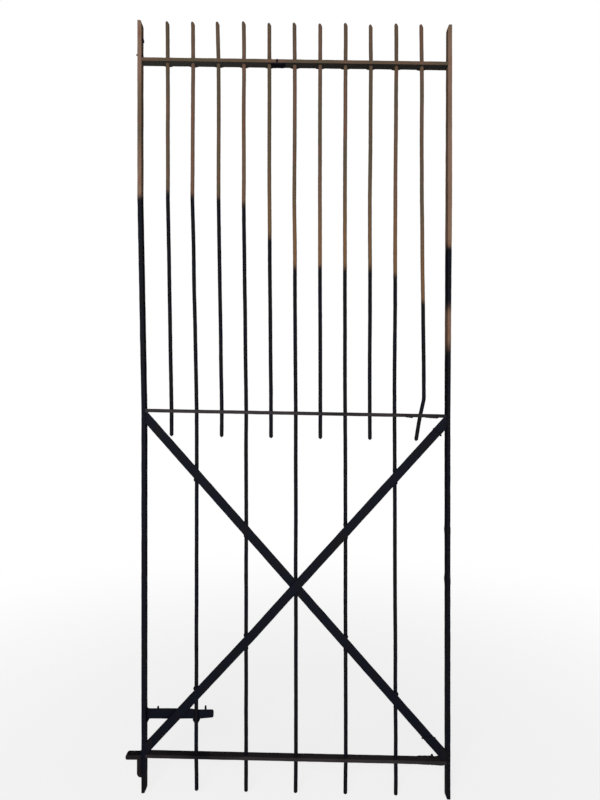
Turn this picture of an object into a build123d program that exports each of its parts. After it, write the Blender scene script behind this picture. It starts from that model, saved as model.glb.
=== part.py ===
"""A wrought-iron garden gate leaf, standing as it hangs, in millimetres.

X runs across the leaf from the heel (hinge) side to the latch side, Y from front to back and Z up.
The origin is on the hinge axis, at the underside of the heel eye, where the eye sits on its hinge pin.
The leaf has sagged towards its latch side, so each rail drops a little on its way across.
"""

import os
from math import atan2, cos, hypot, sin

from build123d import *

# The leaf
leaf_width = 929  # over the outer faces of the stiles, from the mid rail down
heel_spread = 12  # how far the heel stile's top stands outside its lower part
latch_spread = 5  # the same for the latch stile
bottom_rail_height = 10.5  # centre of the bottom rail at the heel stile
lower_panel = 1040  # bottom rail to mid rail, centre to centre at the heel stile
upper_panel = 1056  # mid rail to top rail, centre to centre at the heel stile
knee_height = 640  # above the mid rail: stiles and bars lean in from here down to it
top_rail_drop = 13.5  # fall of each rail from the heel stile to the latch stile
mid_rail_drop = 17.5
bottom_rail_drop = 21

# The stiles
stile_width = 11.5
stile_depth = 24
stile_top = 118  # above the top rail's centre
heel_foot = 111  # below the bottom rail's centre
latch_foot = 109
tip_bevel = (2.5, 9)  # across and down, on the inner side of each tip
heel_foot_bevel = (3, 6)  # across and up, on the inner side of each foot
latch_foot_bevel = (3, 4)

# The rails
rail_thickness = 9.5
rail_depth = 24
top_rail_depth = 28
tenon_width = 12
tenon_thickness = 6
tenon_clearance = 0.3
shoulder_gap = 0.12  # rail shoulder to stile, and tenon end to the stile's outer face
swell_length = 40  # the upper rails are swelled backwards round each punched hole
swell_bulge = 5

# The round bars
bar_count = 11  # first, third and so on are short, the others are long
bar_diameter = 11
hole_clearance = 0.3  # round each bar in a rail's hole
bar_top = 121  # above the top rail's centre
tip_trim = (0, 0, 1, 3, 0, 2, 0, 3, -1, 3, 2)  # what each bar's top was left over that
punch_trim = (1, 1.5, 2, 0.5, 0, -0.5, -1.5, -2, -3, -3.5, -1.5)  # mid rail holes, off even spacing
tip_trim_across = (-1, -0.5, -3, -0.5, 0, -0.5, 0, 0, -1, -0.5, -2)  # how far each top leans
knee_trim = (0.5, -2, 0, -1, 0, -1, -1, -2, -3, -3, 0)  # how far each bar bows at the knee
foot_trim = (1.5, 0.5, -1.5, -1.5, 0)  # how far each long bar's foot leans
chisel_face = (3.5, 8)  # across and down, on the latch side of each top
long_foot = 107  # below the bottom rail's centre
short_foot = 77  # below the mid rail's centre
foot_round = 4.6
point_chamfer = 4.4
kink_out = 12  # the bent bar stands out this far just above the mid rail
kink_height = 50
kink_in = 13  # and its point is this far in
kink_radius = 70

# The braces
brace_width = 26
brace_bar_gap = 0.5  # behind the braces, whose faces are flush with the frame's front
falling_ends = (18, 15)  # centre line to rail centre, at each stile's inner face
rising_ends = (21, 17)
falling_bow = (2, -1)  # how far each brace has sprung above its straight line, at two places
rising_bow = (-4, 2)
bow_places = (0.35, 0.8)  # shares of a brace's length
brace_gap = 0.15  # to the stiles and rails
brace_lap_gap = 0.1  # between the two braces where they cross
halving_limit = 0.001  # how closely their crossing is found
bow_margin = 40  # the rising brace lies flat this far from its ends, then springs forward
stub_width = 27.5
falling_stub_height = 76  # the splice's height above the bottom rail
rising_stub_length = 42  # from the stile's inner face, along the brace

# The heel eye
eye_reach = 33  # hinge axis to the heel stile's outer face
eye_end = 16.5  # hinge axis to the eye's outer end
eye_thickness = 13
eye_depth = 24
eye_corner = 7  # round the eye's end, seen from above
eye_round = (8, 4)  # its upper and lower edge, seen from the front
eye_bore_diameter = 15
eye_leg_thickness = 13.5
eye_leg_length = 53  # below the eye's underside
eye_leg_round = 12

# The cross strap behind the bars, and what stands on it
strap_height = 28.5
strap_end_height = 21.5
strap_end_rise = 3.5  # the end's lower edge above the rest
strap_thickness = 6
strap_end = 51  # past the first long bar's centre
strap_rise = 103.5  # its lower edge above the bottom rail's centre
strap_corner = 5
strap_bar_gap = 0.2
pin_diameter = 6.5
pin_tip_diameter = 5
pin_heights = (8, 13)
left_pin = 33.5  # from the stile
right_pin = 27  # past the first long bar's centre

# Fixings left in the heel stile's top
rivet_height = 63  # above the top rail's centre
rivet_diameter = 6
rivet_outer_head = (9, 2.5)  # diameter and height
rivet_inner_head = (14, 4.5)
rivet_head_taper = 20  # degrees
peg_height = 20
peg_diameter = 5
peg_reach = 6.5

# Welds
bead_radius = 3
splice_overhang = 4  # a splice's bead runs on past the brace's edges
patch_reach = 22  # of the dressed weld over each brace's foot, from the stile
patch_thickness = 1.5
blob_radius = 7.3
blob_sink = 1.5  # a blob's centre in front of the bars' front
corner_weld = (5, 20)  # across and up, in the heel corner above the top rail
rail_splice = 24  # from the fifth bar's centre to the bead across the top rail
splice_lump = (44, 2.5)  # length and thickness of the weld under it, from the fifth bar
splice_fillet = 8  # across and up, beside the fifth bar on top of the rail
eye_weld = (14, 4)  # across and up, on top of the heel eye
strap_top_weld = (5, 4)  # across and up, in the corner of the strap and the heel stile
strap_foot_weld = (8, 14)
strap_bar_weld = (6, 11)  # each side of the bar and down, below the strap
underside_weld = (80, 3)  # length and thickness, under the bottom rail at the latch stile
spatter_place = 34  # from the weld's end
spatter_size = (12, 4, 11)  # foot diameter, tip diameter and height of the spike on the bottom rail
drip_places = ((-45, 22), (12, 42))  # start from the bent bar's hole, and length, under the mid rail
drip_thickness = 2.5

# What follows from them
bar_radius = bar_diameter / 2
front = stile_depth / 2  # distance of the front faces from the middle plane
brace_thickness = front - bar_radius - brace_bar_gap
heel_x = eye_reach
latch_x = heel_x + leaf_width
bottom_z = bottom_rail_height
mid_z = bottom_z + lower_panel
top_z = mid_z + upper_panel
knee_z = mid_z + knee_height


def spread_at(height, top_spread):
    """How far a stile stands outside its place at the mid rail."""
    if height <= mid_z:
        return 0
    return top_spread * min(1, (height - mid_z) / knee_height)


def inner_heel(height):
    return heel_x - spread_at(height, heel_spread) + stile_width


def inner_latch(height):
    return latch_x + spread_at(height, latch_spread) - stile_width


def bar_x(number, height):
    """Centre of a bar, counted from 1 at the heel, at a height.

    The bars share the width between the stiles evenly, but for the punching of the mid rail.
    """
    start = inner_heel(height)
    even = start + (inner_latch(height) - start) * number / (bar_count + 1)
    return even + punch_trim[number - 1] if height == mid_z else even


def rail_z(heel_height, drop, x):
    """A rail's centre height at a place across the leaf."""
    return heel_height - drop * (x - heel_x) / leaf_width


def bar_points(number):
    """The centre line of a bar from its top to its foot."""
    top_place = bar_x(number, top_z)
    mid_place = bar_x(number, mid_z)
    mid_height = rail_z(mid_z, mid_rail_drop, mid_place)
    top_height = rail_z(top_z, top_rail_drop, top_place)
    tip_place = top_place + tip_trim_across[number - 1]
    points = [
        (tip_place, 0, top_height + bar_top + tip_trim[number - 1]),
        (top_place, 0, top_height),
        (top_place + knee_trim[number - 1], 0, knee_z),
    ]
    if number == bar_count:
        points.append((mid_place + kink_out, 0, mid_height + kink_height))
        points.append((mid_place, 0, mid_height))
        points.append((mid_place - kink_in, 0, mid_height - short_foot))
    elif number % 2:
        points.append((mid_place, 0, mid_height))
        points.append((mid_place, 0, mid_height - short_foot))
    else:
        foot_place = bar_x(number, bottom_z)
        foot_height = rail_z(bottom_z, bottom_rail_drop, foot_place)
        points.append((mid_place, 0, mid_height))
        points.append((foot_place, 0, foot_height))
        points.append((foot_place + foot_trim[number // 2 - 1], 0, foot_height - long_foot))
    return points


def round_bar(number, radius):
    """A bar of the given radius along the centre line of the bar with that number."""
    points = bar_points(number)
    with BuildPart() as bar:
        with BuildLine() as path:
            if number == bar_count:
                FilletPolyline(*points, radius=kink_radius)
            else:
                Polyline(*points)
        with BuildSketch(Plane(points[0], z_dir=path.line % 0)):
            Circle(radius)
        sweep(transition=Transition.TRANSFORMED)
    return bar


def finish(builder, name):
    builder.part.label = name
    export_step(builder.part, f"parts/{name}.step")


os.makedirs("parts", exist_ok=True)

# Round bars, chisel-cut at the top, with a round or pointed foot
bars = {}
for number in range(1, bar_count + 1):
    bar = round_bar(number, bar_radius)
    top_place, _, tip = bar_points(number)[0]
    across, down = chisel_face
    cut_start = (top_place + bar_radius - across, 0, tip)
    with bar:
        split(bisect_by=Plane(cut_start, x_dir=(0, 1, 0), z_dir=(down, 0, across)), keep=Keep.BOTTOM)
        end = bar.faces().sort_by(Axis.Z)[0].edges()
        if number % 2:
            chamfer(end, length=point_chamfer)
        else:
            fillet(end, radius=foot_round)
    bars[number] = bar
    if number == bar_count:
        finish(bar, "bent_short_bar")
    elif number % 2:
        finish(bar, f"short_bar_{(number + 1) // 2}")
    else:
        finish(bar, f"long_bar_{number // 2}")
bar_holes = {number: round_bar(number, bar_radius + hole_clearance) for number in bars}


def rail(name, heel_height, drop, depth):
    """A flat bar between the stiles, swelled and punched for the bars, with a tenon at each end."""
    start = inner_heel(heel_height)
    width = inner_latch(heel_height) - start
    slope = atan2(drop, leaf_width)
    length = width / cos(slope)
    end_height = rail_z(heel_height, drop, start)
    along = (cos(slope), 0, -sin(slope))
    upward = (sin(slope), 0, cos(slope))
    lying = Plane((start, 0, end_height), x_dir=along, z_dir=upward)
    every = 2 if heel_height == bottom_z else 1
    crossed = [number for number in bars if number % every == 0]
    holes = [((bar_x(number, heel_height) - start) / cos(slope), 0) for number in crossed]
    with BuildPart() as flat:
        with BuildSketch(lying):
            with Locations((length / 2, 0)):
                Rectangle(length - 2 * shoulder_gap, depth)
            if heel_height > bottom_z:
                with Locations([(along_rail, swell_bulge / 2) for along_rail, _ in holes]):
                    Ellipse(swell_length / 2, (depth + swell_bulge) / 2)
        extrude(amount=rail_thickness / 2, both=True)
        with BuildSketch(lying):
            with Locations((length / 2, 0)):
                Rectangle(length + 2 * (stile_width - shoulder_gap), tenon_width)
        extrude(amount=tenon_thickness / 2, both=True)
        for number in crossed:
            add(bar_holes[number].part, mode=Mode.SUBTRACT)
    finish(flat, name)
    return flat


top_rail = rail("top_rail", top_z, top_rail_drop, top_rail_depth)
mid_rail = rail("mid_rail", mid_z, mid_rail_drop, rail_depth)
bottom_rail = rail("bottom_rail", bottom_z, bottom_rail_drop, rail_depth)


def mortise(heel_height, drop, x):
    """The plane of a mortise: across a stile at one rail's end, square to the rail's slope."""
    slope = atan2(drop, leaf_width)
    along = (cos(slope), 0, -sin(slope))
    return Plane((x, 0, rail_z(heel_height, drop, x)), x_dir=(0, 1, 0), z_dir=along)


def stile(side, foot, foot_bevel, pins):
    """An upright, with side -1 at the heel and 1 at the latch.

    Its outline runs up the outer face, round the tip and down the inner face.
    """
    outer_x, spread = (heel_x, heel_spread) if side < 0 else (latch_x, latch_spread)
    inner_x = outer_x - side * stile_width
    lean = side * spread
    foot_z = rail_z(bottom_z, bottom_rail_drop, outer_x) - foot
    tip_z = rail_z(top_z, top_rail_drop, outer_x) + stile_top
    outline = [
        (outer_x, foot_z),
        (outer_x, mid_z),
        (outer_x + lean, knee_z),
        (outer_x + lean, tip_z),
        (inner_x + lean + side * tip_bevel[0], tip_z),
        (inner_x + lean, tip_z - tip_bevel[1]),
        (inner_x + lean, knee_z),
        (inner_x, mid_z),
        (inner_x, foot_z + foot_bevel[1]),
        (inner_x + side * foot_bevel[0], foot_z),
    ]
    rails = ((top_z, top_rail_drop), (mid_z, mid_rail_drop), (bottom_z, bottom_rail_drop))
    with BuildPart() as upright:
        with BuildSketch(Plane.XZ):
            with BuildLine():
                Polyline(*outline, close=True)
            make_face()
        extrude(amount=stile_depth / 2, both=True)
        for heel_height, drop in rails:
            middle = outer_x + side * (spread_at(heel_height, spread) - stile_width / 2)
            with BuildSketch(mortise(heel_height, drop, middle)):
                Rectangle(tenon_width + 2 * tenon_clearance, tenon_thickness + 2 * tenon_clearance)
            extrude(amount=stile_width, both=True, mode=Mode.SUBTRACT)
        for pin_plane, diameter in pins:
            with BuildSketch(pin_plane):
                Circle(diameter / 2 + hole_clearance)
            extrude(amount=stile_width, mode=Mode.SUBTRACT)
    return upright


# Where the fixings of a lost top fitting go through the heel stile
stile_outer = heel_x - heel_spread
rivet_plane = Plane((stile_outer, 0, top_z + rivet_height), x_dir=(0, 1, 0), z_dir=(1, 0, 0))
peg_plane = Plane((stile_outer, 0, top_z + peg_height), x_dir=(0, 1, 0), z_dir=(1, 0, 0))

fixings = ((rivet_plane, rivet_diameter), (peg_plane, peg_diameter))
heel_stile = stile(-1, heel_foot, heel_foot_bevel, fixings)
finish(heel_stile, "heel_stile")
latch_stile = stile(1, latch_foot, latch_foot_bevel, ())
finish(latch_stile, "latch_stile")

with BuildPart() as stile_rivet:
    with BuildSketch(rivet_plane):
        Circle(rivet_diameter / 2)
    extrude(amount=stile_width)
    with BuildSketch(rivet_plane):
        Circle(rivet_outer_head[0] / 2)
    extrude(amount=-rivet_outer_head[1])
    with BuildSketch(rivet_plane.offset(stile_width)):
        Circle(rivet_inner_head[0] / 2)
    extrude(amount=rivet_inner_head[1], taper=rivet_head_taper)
finish(stile_rivet, "stile_rivet")

with BuildPart() as stile_peg:
    with BuildSketch(peg_plane):
        Circle(peg_diameter / 2)
    extrude(amount=stile_width)
    with BuildSketch(peg_plane):
        Circle(peg_diameter / 2)
    extrude(amount=-peg_reach)
finish(stile_peg, "stile_peg")

# The lower panel's opening, which trims the braces. Their faces are flush with the frame's front.
left_end = inner_heel(mid_z)
right_end = inner_latch(mid_z)
upper_left = (left_end, rail_z(mid_z, mid_rail_drop, left_end))
upper_right = (right_end, rail_z(mid_z, mid_rail_drop, right_end))
lower_left = (left_end, rail_z(bottom_z, bottom_rail_drop, left_end))
lower_right = (right_end, rail_z(bottom_z, bottom_rail_drop, right_end))
half_rail = rail_thickness / 2 + brace_gap
opening = [
    (lower_left[0] + brace_gap, lower_left[1] + half_rail),
    (lower_right[0] - brace_gap, lower_right[1] + half_rail),
    (upper_right[0] - brace_gap, upper_right[1] - half_rail),
    (upper_left[0] + brace_gap, upper_left[1] - half_rail),
]
falling_start = (upper_left[0], upper_left[1] - falling_ends[0])
falling_finish = (lower_right[0], lower_right[1] + falling_ends[1])
rising_start = (lower_left[0], lower_left[1] + rising_ends[0])
rising_finish = (upper_right[0], upper_right[1] - rising_ends[1])
splice_z = lower_right[1] + falling_stub_height


def brace_angle(start, end):
    return atan2(end[1] - start[1], end[0] - start[0])


def bowed_line(start, end, bow):
    """A brace's centre line: its two ends, sprung off the straight at the bow places."""
    across = brace_angle(start, end)
    places = [start]
    for share, rise in zip(bow_places, bow):
        x = start[0] + share * (end[0] - start[0]) - rise * sin(across)
        z = start[1] + share * (end[1] - start[1]) + rise * cos(across)
        places.append((x, z))
    return places + [end]


def line_height(line, x):
    """Height of a centre line at a place across the leaf."""
    for start, end in zip(line, line[1:]):
        if x <= end[0]:
            return start[1] + (end[1] - start[1]) * (x - start[0]) / (end[0] - start[0])
    return line[-1][1]


def brace_face(line, width):
    """A brace's face along its centre line, run on past both ends and trimmed by the opening."""
    across = brace_angle(line[0], line[-1])
    reach = (width * cos(across), width * sin(across))
    run = [(line[0][0] - reach[0], line[0][1] - reach[1])] + line[1:-1]
    run.append((line[-1][0] + reach[0], line[-1][1] + reach[1]))
    half = (-width / 2 * sin(across), width / 2 * cos(across))
    upper = [(x + half[0], z + half[1]) for x, z in run]
    lower = [(x - half[0], z - half[1]) for x, z in reversed(run)]
    with BuildSketch(Plane.XZ.offset(front)) as face:
        with BuildLine():
            Polyline(*upper, *lower, close=True)
        make_face()
        with BuildLine():
            Polyline(*opening, close=True)
        make_face(mode=Mode.INTERSECT)
    return face


falling_line = bowed_line(falling_start, falling_finish, falling_bow)
rising_line = bowed_line(rising_start, rising_finish, rising_bow)
splice_plane = Plane((left_end, 0, splice_z))
falling_face = brace_face(falling_line, brace_width)
with BuildPart() as falling_brace:
    extrude(falling_face.sketch, amount=-brace_thickness)
    split(bisect_by=splice_plane, keep=Keep.TOP)
finish(falling_brace, "falling_brace")

falling_stub_face = brace_face(falling_line, stub_width)
with BuildPart() as falling_brace_stub:
    extrude(falling_stub_face.sketch, amount=-brace_thickness)
    split(bisect_by=splice_plane, keep=Keep.BOTTOM)
finish(falling_brace_stub, "falling_brace_stub")


def crossing_point():
    """Where the two braces' centre lines cross, found by halving."""
    low, high = left_end, right_end
    while high - low > halving_limit:
        x = (low + high) / 2
        if line_height(falling_line, x) > line_height(rising_line, x):
            low = x
        else:
            high = x
    return x, line_height(rising_line, x)


# The rising brace runs from its foot to its splice, and springs forward over the falling one
crossing = crossing_point()
rising_angle = brace_angle(rising_start, rising_finish)
rising_along = (cos(rising_angle), 0, sin(rising_angle))
rising_length = hypot(rising_finish[0] - rising_start[0], rising_finish[1] - rising_start[1])
rising_main = rising_length - rising_stub_length
to_crossing = hypot(crossing[0] - rising_start[0], crossing[1] - rising_start[1])
lap_half = brace_width / 2 + brace_thickness
lap_back = front + brace_lap_gap
bow_end = rising_main - bow_margin
edge_plane = Plane(
    (rising_start[0], 0, rising_start[1]),
    x_dir=rising_along,
    z_dir=(sin(rising_angle), 0, -cos(rising_angle)),
)
back_line = [
    (-brace_width, front - brace_thickness),
    (bow_margin, front - brace_thickness),
    (to_crossing - lap_half, lap_back),
    (to_crossing + lap_half, lap_back),
    (bow_end, front - brace_thickness),
    (rising_main, front - brace_thickness),
]
front_line = [(along, out + brace_thickness) for along, out in reversed(back_line)]
rising_face = brace_face(rising_line, brace_width)
with BuildPart() as rising_brace:
    with BuildSketch(edge_plane):
        with BuildLine():
            Polyline(*back_line, *front_line, close=True)
        make_face()
    extrude(amount=brace_width, both=True)
    extrude(rising_face.sketch, amount=stile_depth, both=True, mode=Mode.INTERSECT)
finish(rising_brace, "rising_brace")

stub_start = (
    rising_start[0] + rising_main * cos(rising_angle),
    rising_start[1] + rising_main * sin(rising_angle),
)
rising_splice = Plane((stub_start[0], 0, stub_start[1]), z_dir=rising_along)
rising_stub_face = brace_face(rising_line, stub_width)
with BuildPart() as rising_brace_stub:
    extrude(rising_stub_face.sketch, amount=-brace_thickness)
    split(bisect_by=rising_splice, keep=Keep.TOP)
finish(rising_brace_stub, "rising_brace_stub")

# The heel eye: one bent bar, with the pin's bore in its level leg
with BuildPart() as heel_eye:
    with BuildSketch(Plane.XZ) as eye_side:
        with BuildLine():
            Polyline(
                (-eye_end, 0),
                (eye_reach - eye_leg_thickness, 0),
                (eye_reach - eye_leg_thickness, -eye_leg_length),
                (eye_reach, -eye_leg_length),
                (eye_reach, eye_thickness),
                (-eye_end, eye_thickness),
                close=True,
            )
        make_face()
        fillet(eye_side.vertices().group_by(Axis.X)[0].sort_by(Axis.Y)[-1], radius=eye_round[0])
        fillet(eye_side.vertices().group_by(Axis.X)[0].sort_by(Axis.Y)[0], radius=eye_round[1])
        fillet(eye_side.vertices().group_by(Axis.Y)[0].sort_by(Axis.X)[0], radius=eye_leg_round)
    extrude(amount=eye_depth / 2, both=True)
    with BuildSketch() as eye_plan:
        with Locations((eye_reach / 2, 0)):
            Rectangle(eye_reach, eye_depth)
        with Locations((0, 0)):
            RectangleRounded(2 * eye_end, eye_depth, eye_corner)
    extrude(amount=eye_leg_length + eye_thickness, both=True, mode=Mode.INTERSECT)
    with Locations((0, 0, eye_thickness)):
        Hole(eye_bore_diameter / 2, depth=eye_thickness)
finish(heel_eye, "heel_eye")

# The cross strap, behind the bars, from the heel stile past the first long bar
strap_foot = bottom_z + strap_rise
strap_top = strap_foot + strap_height
strap_end_top = strap_foot + strap_end_rise + strap_end_height
strap_start = inner_heel(mid_z) + shoulder_gap
bar_place = bar_x(2, bottom_z)
strap_finish = bar_place + strap_end
half_collar = bar_radius + strap_bar_weld[0]
strap_back = bar_radius + strap_bar_gap + strap_thickness
with BuildPart() as cross_strap:
    with BuildSketch(Plane.XZ.offset(-strap_back)):
        with BuildLine():
            Polyline(
                (strap_start, strap_foot),
                (bar_place + half_collar, strap_foot),
                (strap_finish, strap_foot + strap_end_rise),
                (strap_finish, strap_end_top),
                (bar_place, strap_end_top),
                (bar_place - brace_width, strap_top),
                (strap_start, strap_top),
                close=True,
            )
        make_face()
    extrude(amount=strap_thickness)
    end_corners = cross_strap.edges().filter_by(Axis.Y).group_by(Axis.X)[-1]
    fillet(end_corners, radius=strap_corner)
finish(cross_strap, "cross_strap")

strap_middle = strap_back - strap_thickness / 2
pin_names = ("strap_pin_left", "strap_pin_right")
pin_feet = ((strap_start + left_pin, strap_top), (bar_place + right_pin, strap_end_top))
for pin_name, (pin_x, pin_foot), pin_height in zip(pin_names, pin_feet, pin_heights):
    with BuildPart() as pin:
        with BuildSketch(Plane.XY.offset(pin_foot)):
            with Locations((pin_x, strap_middle)):
                Circle(pin_diameter / 2)
        with BuildSketch(Plane.XY.offset(pin_foot + pin_height)):
            with Locations((pin_x, strap_middle)):
                Circle(pin_tip_diameter / 2)
        loft()
    finish(pin, pin_name)


def bead(start, end, face=front):
    """A half-round weld bead on a front face, between two places given as (x, z)."""
    direction = atan2(end[1] - start[1], end[0] - start[0])
    along = (cos(direction), 0, sin(direction))
    with BuildPart() as run:
        with BuildSketch(Plane((start[0], -face, start[1]), x_dir=(0, -1, 0), z_dir=along)):
            Circle(bead_radius)
            with Locations((-bead_radius, 0)):
                Rectangle(2 * bead_radius, 2 * bead_radius, mode=Mode.SUBTRACT)
        extrude(amount=hypot(end[0] - start[0], end[1] - start[1]))
    return run


def grouped(pieces, name):
    """Several separate solids written as one node."""
    with BuildPart() as group:
        for piece in pieces:
            add(piece.part)
    finish(group, name)
    return group


# Beads down the braces' upper ends, where they meet the stiles
corner_drop = rail_thickness / 2 + bead_radius
end_beads = []
for (end_x, end_z), corner in ((falling_start, upper_left), (rising_finish, upper_right)):
    end_beads.append(bead((end_x, end_z - brace_width / 2), (end_x, corner[1] - corner_drop)))


def dressed_patch(face, corner, side):
    """Weld dressed to a thin plate over a brace's foot; side is 1 where the stile is on its left."""
    with BuildPart() as patch:
        with BuildSketch(Plane.XZ.offset(front)):
            add(face.sketch)
            with Locations((corner[0] + side * patch_reach / 2, corner[1] + brace_width)):
                Rectangle(patch_reach, 2 * brace_width, mode=Mode.INTERSECT)
        extrude(amount=patch_thickness)
    return patch


# Dressed welds over the braces' feet
left_patch = dressed_patch(rising_face, lower_left, 1)
right_patch = dressed_patch(falling_stub_face, lower_right, -1)
brace_end_welds = grouped((*end_beads, left_patch, right_patch), "brace_end_welds")

# Beads across the braces where their end pieces are welded on
falling_angle = brace_angle(*falling_line[-2:])
splice_x = falling_finish[0] + (splice_z - falling_finish[1]) / sin(falling_angle) * cos(falling_angle)
splice_half = brace_width / 2 / abs(sin(falling_angle)) + splice_overhang
half_x = (brace_width / 2 + splice_overhang) * sin(rising_angle)
half_z = (brace_width / 2 + splice_overhang) * cos(rising_angle)
splice_beads = [
    bead((splice_x - splice_half, splice_z), (splice_x + splice_half, splice_z)),
    bead(
        (stub_start[0] + half_x, stub_start[1] - half_z),
        (stub_start[0] - half_x, stub_start[1] + half_z),
    ),
]
brace_splice_welds = grouped(splice_beads, "brace_splice_welds")


# Blobs of weld where the braces' edges cross the long bars
with BuildPart() as brace_bar_welds:
    for number in bars:
        if number % 2:
            continue
        foot_place = bar_x(number, bottom_z)
        lean = (bar_x(number, mid_z) - foot_place) / lower_panel
        for line in (falling_line, rising_line):
            x = foot_place + lean * (line_height(line, foot_place) - bottom_z)
            half = brace_width / 2 / cos(brace_angle(line[0], line[-1]))
            for edge in (-half, half):
                with Locations((x, -bar_radius - blob_sink, line_height(line, x) + edge)):
                    Sphere(blob_radius)
    for number in bars:
        if number % 2 == 0:
            add(bars[number].part, mode=Mode.SUBTRACT)
    for piece in (falling_brace, rising_brace, cross_strap):
        add(piece.part, mode=Mode.SUBTRACT)
finish(brace_bar_welds, "brace_bar_welds")


def wedge(outline, near, far):
    """A flat lump of weld with an outline of (x, z) places, from one depth behind the front to another."""
    with BuildPart() as lump:
        with BuildSketch(Plane.XZ.offset(-near)):
            with BuildLine():
                Polyline(*outline, close=True)
            make_face()
        extrude(amount=near - far)
    return lump


# Welds of the heel eye: a bead down its leg in front and behind, and a fillet on top
eye_bead = bead((heel_x, eye_leg_round - eye_leg_length), (heel_x, eye_thickness))
eye_top = wedge(
    [
        (heel_x - shoulder_gap, eye_thickness),
        (heel_x - shoulder_gap, eye_thickness + eye_weld[1]),
        (heel_x - eye_weld[0], eye_thickness),
    ],
    -eye_depth / 2,
    eye_depth / 2,
)
with BuildPart() as heel_eye_welds:
    add(eye_bead.part)
    mirror(about=Plane.XZ)
    add(eye_top.part)
finish(heel_eye_welds, "heel_eye_welds")

# Welds of the strap: fillets above and below it at the stile, and one under it round the first long bar
strap_front = strap_back - strap_thickness
stile_fillets = [
    wedge(
        [
            (strap_start, strap_top),
            (strap_start + strap_top_weld[0], strap_top),
            (strap_start, strap_top + strap_top_weld[1]),
        ],
        strap_front,
        strap_back,
    ),
    wedge(
        [
            (strap_start, strap_foot),
            (strap_start + strap_foot_weld[0], strap_foot),
            (strap_start, strap_foot - strap_foot_weld[1]),
        ],
        strap_front,
        strap_back,
    ),
]
bar_collar = wedge(
    [
        (bar_place - half_collar, strap_foot),
        (bar_place + half_collar, strap_foot),
        (bar_place + bar_radius, strap_foot - strap_bar_weld[1]),
        (bar_place - bar_radius, strap_foot - strap_bar_weld[1]),
    ],
    0,
    strap_back,
)
with BuildPart() as strap_welds:
    for fillet_weld in stile_fillets:
        add(fillet_weld.part)
    add(bar_collar.part)
    add(bars[2].part, mode=Mode.SUBTRACT)
finish(strap_welds, "strap_welds")

# Welds of the top rail: a fillet in the heel corner, and a bead where the rail was pieced
corner_x = inner_heel(top_z) + shoulder_gap
corner_z = rail_z(top_z, top_rail_drop, corner_x) + rail_thickness / 2 + shoulder_gap
corner_fillet = wedge(
    [(corner_x, corner_z), (corner_x + corner_weld[0], corner_z), (corner_x, corner_z + corner_weld[1])],
    -front,
    front,
)
pieced_x = bar_x(5, top_z) + rail_splice
pieced_z = rail_z(top_z, top_rail_drop, pieced_x)
pieced_low = (pieced_x, pieced_z - rail_thickness / 2)
pieced_high = (pieced_x, pieced_z + rail_thickness / 2)
pieced_bead = bead(pieced_low, pieced_high, top_rail_depth / 2)
lump_x = bar_x(5, top_z) + bar_radius + hole_clearance
lump_end = lump_x + splice_lump[0]
rail_top = rail_z(top_z, top_rail_drop, lump_x) + rail_thickness / 2 + shoulder_gap
rail_under = rail_z(top_z, top_rail_drop, lump_end) - rail_thickness / 2 - shoulder_gap
bar_fillet = wedge(
    [(lump_x, rail_top), (lump_x + splice_fillet, rail_top), (lump_x, rail_top + splice_fillet)],
    -bar_radius,
    bar_radius,
)
pieced_lump = wedge(
    [
        (lump_x, rail_under),
        (lump_end, rail_under),
        (lump_end - splice_fillet, rail_under - splice_lump[1]),
        (lump_x, rail_under - splice_lump[1]),
    ],
    -front,
    front,
)
top_rail_welds = grouped((corner_fillet, pieced_bead, bar_fillet, pieced_lump), "top_rail_welds")


def underside(height, drop, start, end, thickness):
    """A lump of weld along a rail's front underside, thickest towards its end."""
    level = [rail_z(height, drop, x) - rail_thickness / 2 - shoulder_gap for x in (start, end)]
    outline = [
        (start, level[0]),
        (end, level[1]),
        (end - thickness, level[1] - thickness),
        (start + 2 * thickness, level[0] - thickness / 2),
    ]
    return wedge(outline, -front, 0)


# Weld drips under the mid rail, each side of the bent bar
drips = []
for place, length in drip_places:
    drip_start = bar_x(bar_count, mid_z) + place
    drips.append(underside(mid_z, mid_rail_drop, drip_start, drip_start + length, drip_thickness))
mid_rail_drips = grouped(drips, "mid_rail_drips")

# Weld under the bottom rail at the latch stile, and a spike of spatter on its top
under_end = inner_latch(bottom_z) - 2 * bead_radius
under_length, under_thickness = underside_weld
under_start = under_end - under_length
under_weld = underside(bottom_z, bottom_rail_drop, under_start, under_end, under_thickness)
spike_x = under_end - spatter_place
spike_z = rail_z(bottom_z, bottom_rail_drop, spike_x) + rail_thickness / 2 + 2 * shoulder_gap
foot_diameter, tip_diameter, spike_height = spatter_size
with BuildPart() as spatter:
    with BuildSketch(Plane.XY.offset(spike_z)):
        with Locations((spike_x, front - foot_diameter / 2)):
            Circle(foot_diameter / 2)
    with BuildSketch(Plane.XY.offset(spike_z + spike_height)):
        with Locations((spike_x, front - foot_diameter / 2)):
            Circle(tip_diameter / 2)
    loft()
bottom_rail_welds = grouped((under_weld, spatter), "bottom_rail_welds")
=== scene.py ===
from math import cos, radians, sin, tau

import bmesh
import bpy
import numpy as np
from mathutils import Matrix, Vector, noise


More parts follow.
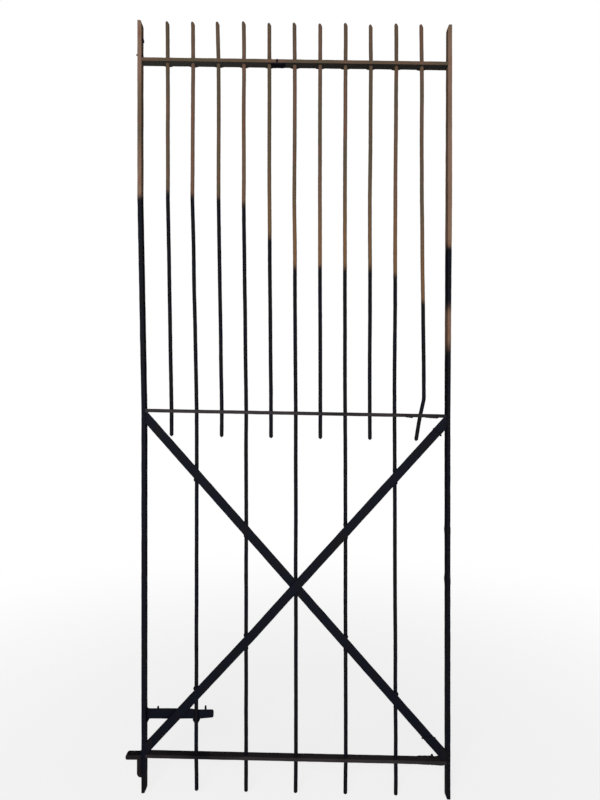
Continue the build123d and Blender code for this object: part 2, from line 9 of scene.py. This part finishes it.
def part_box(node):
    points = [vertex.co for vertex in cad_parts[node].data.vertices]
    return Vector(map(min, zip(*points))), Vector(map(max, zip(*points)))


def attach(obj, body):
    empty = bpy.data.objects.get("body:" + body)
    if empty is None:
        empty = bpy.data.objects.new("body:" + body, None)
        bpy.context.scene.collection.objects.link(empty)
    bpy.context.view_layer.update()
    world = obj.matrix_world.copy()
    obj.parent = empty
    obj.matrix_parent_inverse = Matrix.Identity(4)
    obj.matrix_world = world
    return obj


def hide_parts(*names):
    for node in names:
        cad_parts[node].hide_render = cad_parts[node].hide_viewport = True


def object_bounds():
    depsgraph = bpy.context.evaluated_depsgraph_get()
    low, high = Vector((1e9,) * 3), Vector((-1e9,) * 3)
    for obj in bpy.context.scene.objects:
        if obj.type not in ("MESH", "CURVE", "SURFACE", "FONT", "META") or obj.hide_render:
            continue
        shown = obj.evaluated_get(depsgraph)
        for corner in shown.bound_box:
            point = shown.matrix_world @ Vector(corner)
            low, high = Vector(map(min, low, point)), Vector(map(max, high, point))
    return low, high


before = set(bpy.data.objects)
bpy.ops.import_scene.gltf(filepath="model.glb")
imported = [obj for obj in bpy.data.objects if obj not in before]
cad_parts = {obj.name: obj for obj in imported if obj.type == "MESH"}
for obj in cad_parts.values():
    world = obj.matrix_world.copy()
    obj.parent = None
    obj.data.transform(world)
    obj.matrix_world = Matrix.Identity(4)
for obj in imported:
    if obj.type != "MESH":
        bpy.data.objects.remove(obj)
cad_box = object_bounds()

# The leaf is wrought iron: forged flats and rounds, welds, old black paint below, bare rust above.
# Sizes are in metres, colours are linear.

bars_in_order = (
    "short_bar_1", "long_bar_1", "short_bar_2", "long_bar_2", "short_bar_3", "long_bar_3",
    "short_bar_4", "long_bar_4", "short_bar_5", "long_bar_5", "bent_short_bar",
)
rails = ("top_rail", "mid_rail", "bottom_rail")
braces = ("falling_brace", "falling_brace_stub", "rising_brace", "rising_brace_stub")
welds = (
    "heel_eye_welds", "strap_welds", "brace_end_welds", "brace_splice_welds", "brace_bar_welds",
    "mid_rail_drips", "bottom_rail_welds",
)


# Shapes

scale_thickness = 0.0004  # rust scale and old paint on the iron


def cad_edges(node):
    """The ends of a CAD node's edges."""
    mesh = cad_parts[node].data
    places = np.empty(3 * len(mesh.vertices))
    mesh.vertices.foreach_get("co", places)
    pairs = np.empty(2 * len(mesh.edges), int)
    mesh.edges.foreach_get("vertices", pairs)
    return places.reshape(-1, 3)[pairs.reshape(-1, 2)]


def section(edges, height):
    """Low and high corners, in x and y, of a piece's section at a height."""
    start, end = edges[:, 0], edges[:, 1]
    rise = end[:, 2] - start[:, 2]
    share = (height - start[:, 2]) / np.where(rise == 0, 1, rise)
    met = (rise != 0) & (share >= 0) & (share <= 1)
    places = start[met] + share[met, None] * (end[met] - start[met])
    return places[:, :2].min(0), places[:, :2].max(0)


def mesh_of(work, name):
    mesh = bpy.data.meshes.new(name)
    work.to_mesh(mesh)
    work.free()
    return mesh


def piece_of(mesh, name, nodes, finish):
    """A finished piece: it stands for its CAD nodes and rides with the leaf."""
    piece = bpy.data.objects.new(name, mesh)
    bpy.context.scene.collection.objects.link(piece)
    mesh.materials.clear()
    mesh.materials.append(finish)
    mesh.polygons.foreach_set("use_smooth", [True] * len(mesh.polygons))
    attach(piece, "root")
    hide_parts(*nodes)
    return piece


def uneven(place, size, seed):
    """A smooth number from -1 to 1 that changes over about that size."""
    shift = Vector((seed * 7.31, seed * 3.17, 0))
    return noise.noise(Vector(place) / size + shift)


end_rings = (0.00005, 0.0004, 0.001, 0.002, 0.003, 0.0044, 0.006, 0.008, 0.011)
end_reach = 0.015  # how much of each end the end rings look after
ring_gap = 0.005
ring_sides = 20
crown = 0.003  # how far down the edge of a bar's top is rounded
crown_shrink = 0.3
sway = 0.0009
sway_size = 0.16
sway_apart = 5  # keeps the sway to the side apart from the sway to the front
dent = 0.00028
dent_size = 0.016
still = 0.06  # a bar doesn't sway this near a rail
full_half = 0.005  # a section slimmer than this, as in a point, is dented less
rail_heights = [sum(corner.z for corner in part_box(rail)) / 2 for rail in rails]


def forged_bar(node, seed, finish):
    """A round bar, drawn out by hand: rings on its CAD centre line, swayed and dented a little."""
    edges = cad_edges(node)
    low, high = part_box(node)
    heights = [low.z + end for end in end_rings]
    heights += list(np.arange(low.z + end_reach, high.z - end_reach, ring_gap))
    heights += [high.z - end for end in reversed(end_rings)]
    work = bmesh.new()
    rings = []
    for height in heights:
        corner, far = section(edges, height)
        middle, half = (corner + far) / 2, (far - corner) / 2
        free = min(1, min(abs(height - rail) for rail in rail_heights) / still)
        lean = [
            sway * free * uneven((turn, 0, height), sway_size, seed) for turn in (0, sway_apart)
        ]
        from_top = max(0, 1 - (high.z - height) / crown)
        shrink = 1 - crown_shrink * from_top ** 2
        ring = []
        for side in range(ring_sides):
            turn = tau * side / ring_sides
            out = Vector((cos(turn), sin(turn), 0))
            place = Vector((middle[0] + lean[0], middle[1] + lean[1], height))
            place += Vector((out.x * half[0], out.y * half[1], 0)) * shrink
            push = scale_thickness + dent * uneven(place, dent_size, seed)
            place += out * push * min(1, half[0] / full_half)
            ring.append(work.verts.new(place))
        rings.append(ring)
    for below, above in zip(rings, rings[1:]):
        for side in range(ring_sides):
            after = (side + 1) % ring_sides
            work.faces.new((below[side], below[after], above[after], above[side]))
    work.faces.new(reversed(rings[0]))
    work.faces.new(rings[-1])
    name = node + "_forged"
    return piece_of(mesh_of(work, name), name, [node], finish)


same_place = 1e-6
on_plane = 1e-7
flat_angle = radians(1)
edge_angle = radians(35)
wide = 0.02  # a flat deeper than this is also cut along its length
wide_cuts = (0.3, 0.7)
fine_share = 0.35  # of the roughness, in dents a quarter of the size


def cut_by(work, place, direction):
    """Adds edges where a plane passes, so that the faces there can be dented."""
    parts = work.verts[:] + work.edges[:] + work.faces[:]
    bmesh.ops.bisect_plane(work, geom=parts, plane_co=place, plane_no=direction, dist=on_plane)


def forged_flat(
    node, seed, finish, worn=0.0009, step=0.008, rough=0.0004, rough_size=0.03, lumps=(),
):
    """A flat bar with worn edges, cut across often enough for its faces to be dented.

    Each lump of slag on it is given as a place, a reach and a height.
    """
    work = bmesh.new()
    work.from_mesh(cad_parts[node].data)
    bmesh.ops.remove_doubles(work, verts=work.verts, dist=same_place)
    bmesh.ops.dissolve_limit(work, angle_limit=flat_angle, verts=work.verts, edges=work.edges)
    corners = [e for e in work.edges if e.is_manifold and e.calc_face_angle(0) > edge_angle]
    bmesh.ops.bevel(
        work, geom=corners, offset=worn, segments=2, profile=0.5, affect="EDGES",
        clamp_overlap=True,
    )
    low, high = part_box(node)
    sides = high - low
    longest = max(range(3), key=lambda axis: sides[axis])
    across = Vector([float(axis == longest) for axis in range(3)])
    for count in range(1, int(sides[longest] / step)):
        cut_by(work, low + across * step * count, across)
    if sides.y > wide:
        for share in wide_cuts:
            cut_by(work, low + Vector((0, sides.y * share, 0)), (0, 1, 0))
    work.normal_update()
    for vert in work.verts:
        push = scale_thickness + rough * uneven(vert.co, rough_size, seed)
        push += fine_share * rough * uneven(vert.co, rough_size / 4, seed + 9)
        for middle, reach, height in lumps:
            near = max(0, 1 - (vert.co - Vector(middle)).length / reach)
            push += height * near * (0.7 + 0.6 * uneven(vert.co, reach / 3, seed + 4))
        vert.co += vert.normal * push
    name = node + "_forged"
    piece = piece_of(mesh_of(work, name), name, [node], finish)
    even = piece.modifiers.new("even_light", "WEIGHTED_NORMAL")
    even.keep_sharp = True
    return piece


lump_size = 0.005
lump_base = 0.35  # pushes the surface out a little on the whole, as smoothing draws it in
smoothings = 3


def lumpy_weld(node, seed, finish, grain=0.0009, lump=0.0008):
    """A weld or a small forging: its CAD solid made even, then lumpy like cooled metal."""
    rough = bpy.data.objects.new(node + "_rough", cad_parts[node].data.copy())
    bpy.context.scene.collection.objects.link(rough)
    remesh = rough.modifiers.new("even", "REMESH")
    remesh.mode = "VOXEL"
    remesh.voxel_size = grain
    bpy.context.view_layer.update()
    shaped = rough.evaluated_get(bpy.context.evaluated_depsgraph_get())
    even = bpy.data.meshes.new_from_object(shaped)
    bpy.data.objects.remove(rough)
    work = bmesh.new()
    work.from_mesh(even)
    bpy.data.meshes.remove(even)
    for _ in range(smoothings):
        bmesh.ops.smooth_vert(
            work, verts=work.verts, factor=0.5, use_axis_x=True, use_axis_y=True, use_axis_z=True
        )
    work.normal_update()
    for vert in work.verts:
        vert.co += vert.normal * lump * (lump_base + uneven(vert.co, lump_size, seed))
    name = node + "_run"
    return piece_of(mesh_of(work, name), name, [node], finish)


# Finishes

relief = 0.0009  # the depth of the rust's and the paint's grain
dull = 0.08


class Wire:
    """An output of a material's nodes that can be used in sums."""

    def __init__(self, bench, socket):
        self.bench = bench
        self.socket = socket

    def _sum(self, operation, first, second):
        settings = {"operation": operation}
        return self.bench.node("ShaderNodeMath", settings, {0: first, 1: second})

    def __add__(self, other):
        return self._sum("ADD", self, other)

    def __sub__(self, other):
        return self._sum("SUBTRACT", self, other)

    def __mul__(self, other):
        return self._sum("MULTIPLY", self, other)

    def __rsub__(self, other):
        return self._sum("SUBTRACT", other, self)

    __radd__ = __add__
    __rmul__ = __mul__


class Bench:
    """The nodes of one material, or of the world."""

    def __init__(self, holder):
        self.holder = holder
        holder.use_nodes = True
        self.tree = holder.node_tree
        self.tree.nodes.clear()

    def node(self, kind, settings=None, inputs=None, output=0):
        """Adds a node with its settings and its sockets' values or links, and gives an output."""
        made = self.tree.nodes.new(kind)
        for key, value in (settings or {}).items():
            setattr(made, key, value)
        for key, value in (inputs or {}).items():
            if isinstance(value, Wire):
                self.tree.links.new(value.socket, made.inputs[key])
            else:
                made.inputs[key].default_value = value
        return Wire(self, made.outputs[output]) if len(made.outputs) else None

    def place(self):
        return self.node("ShaderNodeTexCoord", output="Object")

    def part(self, vector, axis):
        return self.node("ShaderNodeSeparateXYZ", {}, {0: vector}, output=axis)

    def grain(self, size, detail=4, roughness=0.55, stretch=(1, 1, 1), shift=0):
        """Noise from 0 to 1 with patches of about that size."""
        moved = self.node("ShaderNodeMapping", {}, {
            "Vector": self.place(), "Location": (shift, shift, shift), "Scale": stretch,
        })
        return self.node("ShaderNodeTexNoise", {}, {
            "Vector": moved, "Scale": 1 / size, "Detail": detail, "Roughness": roughness,
        })

    def pits(self, size):
        inputs = {"Vector": self.place(), "Scale": 1 / size}
        return self.node("ShaderNodeTexVoronoi", {"feature": "F1"}, inputs)

    def step(self, value, low, high):
        """0 below low, 1 above high, smooth between."""
        return self.node(
            "ShaderNodeMapRange", {"interpolation_type": "SMOOTHSTEP", "clamp": True},
            {"Value": value, "From Min": low, "From Max": high},
        )

    def mix(self, share, first, second):
        """From the first colour to the second. The mix node's colours are its sockets 6 and 7."""
        first, second = (end if isinstance(end, Wire) else (*end, 1) for end in (first, second))
        inputs = {0: share, 6: first, 7: second}
        return self.node("ShaderNodeMix", {"data_type": "RGBA"}, inputs, output=2)

    def blend(self, share, first, second):
        """From the first shader to the second."""
        return self.node("ShaderNodeMixShader", {}, {0: share, 1: first, 2: second})

    def finish(self, colour, roughness, height):
        bump = self.node("ShaderNodeBump", {}, {
            "Height": height, "Distance": relief, "Strength": 1.0,
        })
        surface = self.node("ShaderNodeBsdfPrincipled", {}, {
            "Base Color": colour, "Roughness": roughness, "Normal": bump,
            "Specular IOR Level": dull,
        })
        self.node("ShaderNodeOutputMaterial", {}, {"Surface": surface})
        return self.holder


base_roughness = 0.55
broad_size, patch_size, flake_size, grit_size = 0.16, 0.03, 0.006, 0.0035
line_blur = 0.016  # the paint's edge fades over this, up and down
line_wander = 0.05
bare_blur = 0.03
bare_share = 0.9
gold_reach = (0.02, 0.35)  # above the paint's edge

rust_brown = (0.125, 0.073, 0.050)
rust_olive = (0.086, 0.064, 0.041)
rust_red = (0.150, 0.058, 0.036)
rust_gold = (0.175, 0.088, 0.036)
rust_pale = (0.290, 0.180, 0.130)
rust_dark = (0.026, 0.020, 0.018)
stile_rust = (0.185, 0.115, 0.080)
paint_black = (0.0042, 0.0036, 0.0052)
paint_blue = (0.0026, 0.0034, 0.0085)
paint_worn = (0.0200, 0.0130, 0.0130)
paint_grey = (0.0300, 0.0240, 0.0260)
# painted shade for rust on faces that point down: grey at the heel, black at the latch
underside_shade_grey = (0.0560, 0.0580, 0.0510)
underside_shade_black = (0.0250, 0.0260, 0.0260)


def rusted(bench, broad, patches, grit, brown, olive, red):
    """Rust's colour: brown to olive broadly, red in patches, pale and dark in the grit."""
    rust = bench.mix(bench.step(broad + olive - 0.5, 0.36, 0.64), brown, rust_olive)
    rust = bench.mix(bench.step(patches, 0.50, 0.72) * red, rust, rust_red)
    rust = bench.mix(bench.step(grit, 0.60, 0.78) * 0.45, rust, rust_pale)
    return bench.mix(bench.step(1 - grit, 0.56, 0.74) * 0.55, rust, rust_dark)


def painted_underside_shade(bench, rust, patches, shade_colours):
    """Rust with painted shade on what faces down, from the first shade colour at the heel to the
    second.
    """
    # the painted shade's mask: how far a face points down
    facing = bench.node("ShaderNodeTexCoord", output="Normal")
    along = bench.part(bench.place(), "X")
    shade_colour = bench.mix(bench.step(along + patches * 0.2, 0.2, 0.8), *shade_colours)
    return bench.mix(bench.step(0 - bench.part(facing, "Z"), 0.3, 0.8) * 0.85, rust, shade_colour)


def painted(bench, broad, patches, chips, blue, tint, tint_share):
    """Old paint's colour: black to blue in patches, tinted broadly, worn at the chips."""
    paint = bench.mix(bench.step(patches + blue - 0.5, 0.40, 0.62), paint_black, paint_blue)
    paint = bench.mix(bench.step(broad, 0.25, 0.65) * tint_share, paint, tint)
    return bench.mix(chips * 0.7, paint, paint_worn)


def iron(
    name, line=None, seed=0.0, olive=0.5, red=0.0, gold=0.0, brown=rust_brown, underside_shade=None,
    bare_patch=None, worn=0.12, blue=0.5, tint=paint_worn, tint_share=0.0,
):
    """Iron that is rusty above a height and painted below it, or painted all over if none is given.

    A bare patch, given as two heights, is rusty too. Painted shade darkens the underside if its
    colours are given.
    """
    bench = Bench(bpy.data.materials.new(name))
    broad = bench.grain(broad_size, detail=2, stretch=(1, 1, 0.6), shift=seed)
    patches = bench.grain(patch_size, stretch=(1, 1, 0.45), shift=seed + 3)
    grit = bench.grain(grit_size, detail=5, roughness=0.7, shift=seed)
    worn_away = 0.66 - 0.25 * worn
    chips = bench.step(patches * 0.6 + grit * 0.4, worn_away, worn_away + 0.08)
    paint = painted(bench, broad, patches, chips, blue, tint, tint_share)
    paint_height = grit * 0.35 + chips * -0.25
    roughness = base_roughness + grit * 0.2
    if line is None:
        return bench.finish(paint, roughness + chips * 0.2, paint_height)

    rust = rusted(bench, broad, patches, grit, brown, olive, red)
    # painted shade: faces that point down are darkened as if in shadow
    if underside_shade:
        rust = painted_underside_shade(bench, rust, patches, underside_shade)
    up = bench.part(bench.place(), "Z")
    wander = (patches - 0.5) * line_wander
    above = bench.step(up + wander, line - line_blur, line + line_blur)
    if bare_patch:
        foot, head = (
            bench.step(up + wander, height - bare_blur, height + bare_blur)
            for height in bare_patch
        )
        above = 1 - (1 - above) * (1 - foot * (1 - head) * bare_share)
    if gold:
        near_line = 1 - bench.step(up, *(line + reach for reach in gold_reach))
        rust = bench.mix(near_line * gold, rust, rust_gold)
    rust_height = grit * 0.7 + bench.step(bench.pits(flake_size), 0.1, 0.55) * 0.3
    height = paint_height + above * (rust_height - paint_height)
    return bench.finish(bench.mix(above, paint, rust), roughness + above * 0.25, height)


# The bars, from heel to latch: where each one's paint begins, going down, and how olive and
# how golden its rust is
bar_looks = (
    (1.709, 0.60, 0.1), (1.703, 0.42, 0.1), (1.694, 0.62, 0.1), (1.676, 0.45, 0.15),
    (1.579, 0.62, 0.45), (1.482, 0.50, 0.6), (1.485, 0.52, 0.6), (1.479, 0.44, 0.65),
    (1.479, 0.62, 0.5), (1.458, 0.44, 0.65), (1.380, 0.58, 0.5),
)
for number, (node, (line, olive, gold)) in enumerate(zip(bars_in_order, bar_looks)):
    bar_iron = iron(
        node + "_iron", line, seed=number * 1.7, olive=olive, red=0.45, gold=gold, blue=0.45
    )
    forged_bar(node, number, bar_iron)

heel_iron = iron(
    "heel_stile_iron", 1.695, seed=21, olive=0.38, red=0.6, brown=stile_rust, blue=0.6
)
latch_iron = iron(
    "latch_stile_iron", 1.548, seed=25, olive=0.40, red=0.6, gold=0.15, brown=stile_rust,
    bare_patch=(1.242, 1.356),
)
all_bare = 0.0  # a paint line below the rail leaves it rusty all over
# the top rail's underside gets painted shade
top_iron = iron(
    "top_rail_iron", all_bare, seed=31, olive=0.6, red=0.2, underside_shade=(underside_shade_grey, underside_shade_black)
)
low_iron = iron("low_rail_iron", seed=35, worn=0.3, blue=0.3, tint=paint_grey, tint_share=1.0)
brace_paint = iron("brace_iron", seed=41, blue=0.6)
eye_paint = iron("eye_iron", seed=45, blue=0.45, tint_share=0.5)
strap_paint = iron("strap_iron", seed=51, blue=0.6)
weld_paint = iron("weld_metal", seed=61, worn=0.15, blue=0.55, tint_share=0.1)

latch_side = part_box("latch_stile")[0].x
latch_lumps = [((latch_side, 0, height), 0.022, 0.0035) for height in (0.690, 0.538)]
rail_low, rail_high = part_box("bottom_rail")
rail_lumps = [
    ((rail_high.x - inward, depth, rail_low.z + 0.012), 0.012, 0.0025)
    for inward in (0.085, 0.070, 0.055, 0.032) for depth in (0.004, 0.010)
]

forged_flat("heel_stile", 1, heel_iron)
forged_flat("latch_stile", 2, latch_iron, lumps=latch_lumps)
forged_flat("top_rail", 3, top_iron)
forged_flat("mid_rail", 4, low_iron)
forged_flat("bottom_rail", 5, low_iron, lumps=rail_lumps)
for number, node in enumerate(braces):
    forged_flat(node, 6 + number, brace_paint, worn=0.0007)
forged_flat("cross_strap", 11, strap_paint)
forged_flat("heel_eye", 12, eye_paint, worn=0.002, step=0.004)
lumpy_weld("strap_pin_left", 13, strap_paint, grain=0.0005, lump=0.0003)
lumpy_weld("strap_pin_right", 14, strap_paint, grain=0.0005, lump=0.0003)
lumpy_weld("stile_rivet", 15, weld_paint, grain=0.0006, lump=0.0005)
lumpy_weld("stile_peg", 16, weld_paint, grain=0.0005, lump=0.0003)
for number, node in enumerate(welds):
    lumpy_weld(node, 20 + number, weld_paint)
lumpy_weld("top_rail_welds", 30, weld_paint)


# The room: a pale floor, and walls that look white but give only a little light, so that the
# iron's sides stay dark

white = (1, 1, 1, 1)
floor_colour = (0.88, 0.88, 0.87, 1)
floor_size = 40
floor_gap = 0.001
near_glow = 0.8  # the share of the floor that looks lit, near the gate
glow_reach = (0.2, 3.0)  # it rises to 1 over these distances
room_light = 0.08

work = bmesh.new()
bmesh.ops.create_grid(work, x_segments=8, y_segments=8, size=floor_size)
floor_mesh = mesh_of(work, "pale_floor")
floor = bpy.data.objects.new("pale_floor", floor_mesh)
floor.location = (0.5, 0, cad_box[0][2] - floor_gap)
bpy.context.scene.collection.objects.link(floor)
bench = Bench(bpy.data.materials.new("pale_floor"))
seen = bench.node("ShaderNodeLightPath", output="Is Camera Ray")
away = bench.node("ShaderNodeVectorMath", {"operation": "LENGTH"}, {0: bench.place()}, "Value")
matt = bench.node("ShaderNodeBsdfDiffuse", {}, {"Color": floor_colour})
glow = bench.node("ShaderNodeEmission", {}, {"Color": white, "Strength": 1.0})
lit = near_glow + (1 - near_glow) * bench.step(away, *glow_reach)
bench.node("ShaderNodeOutputMaterial", {}, {"Surface": bench.blend(lit * seen, matt, glow)})
floor_mesh.materials.append(bench.holder)

world = bpy.data.worlds.new("studio")
bpy.context.scene.world = world
bench = Bench(world)
seen = bench.node("ShaderNodeLightPath", output="Is Camera Ray")
given, shown = (
    bench.node("ShaderNodeBackground", {}, {"Color": white, "Strength": strength})
    for strength in (room_light, 1.0)
)
bench.node("ShaderNodeOutputWorld", {}, {"Surface": bench.blend(seen, given, shown)})
bpy.context.scene.view_settings.view_transform = "Standard"

lamps = (  # name, place, size, watts
    ("key", (-0.2, -3.9, 2.1), 2.0, 135),
    ("fill", (1.4, -3.8, 0.9), 2.2, 40),
)
target = Vector((0.5, 0, 1.1))
for name, place, size, power in lamps:
    lamp = bpy.data.lights.new(name, "AREA")
    lamp.size = size
    lamp.energy = power
    holder = bpy.data.objects.new(name, lamp)
    holder.location = place
    holder.rotation_euler = (target - Vector(place)).to_track_quat("-Z", "Y").to_euler()
    bpy.context.scene.collection.objects.link(holder)

eye = bpy.data.cameras.new("gate_view")
eye.sensor_fit = "VERTICAL"
eye.sensor_height = 36
eye.lens = 25.74
camera = bpy.data.objects.new("gate_view", eye)
camera.location = (0.5098, -1.732, 1.0819)
camera.rotation_euler = (radians(90), 0, 0)
bpy.context.scene.collection.objects.link(camera)
bpy.context.scene.camera = camera
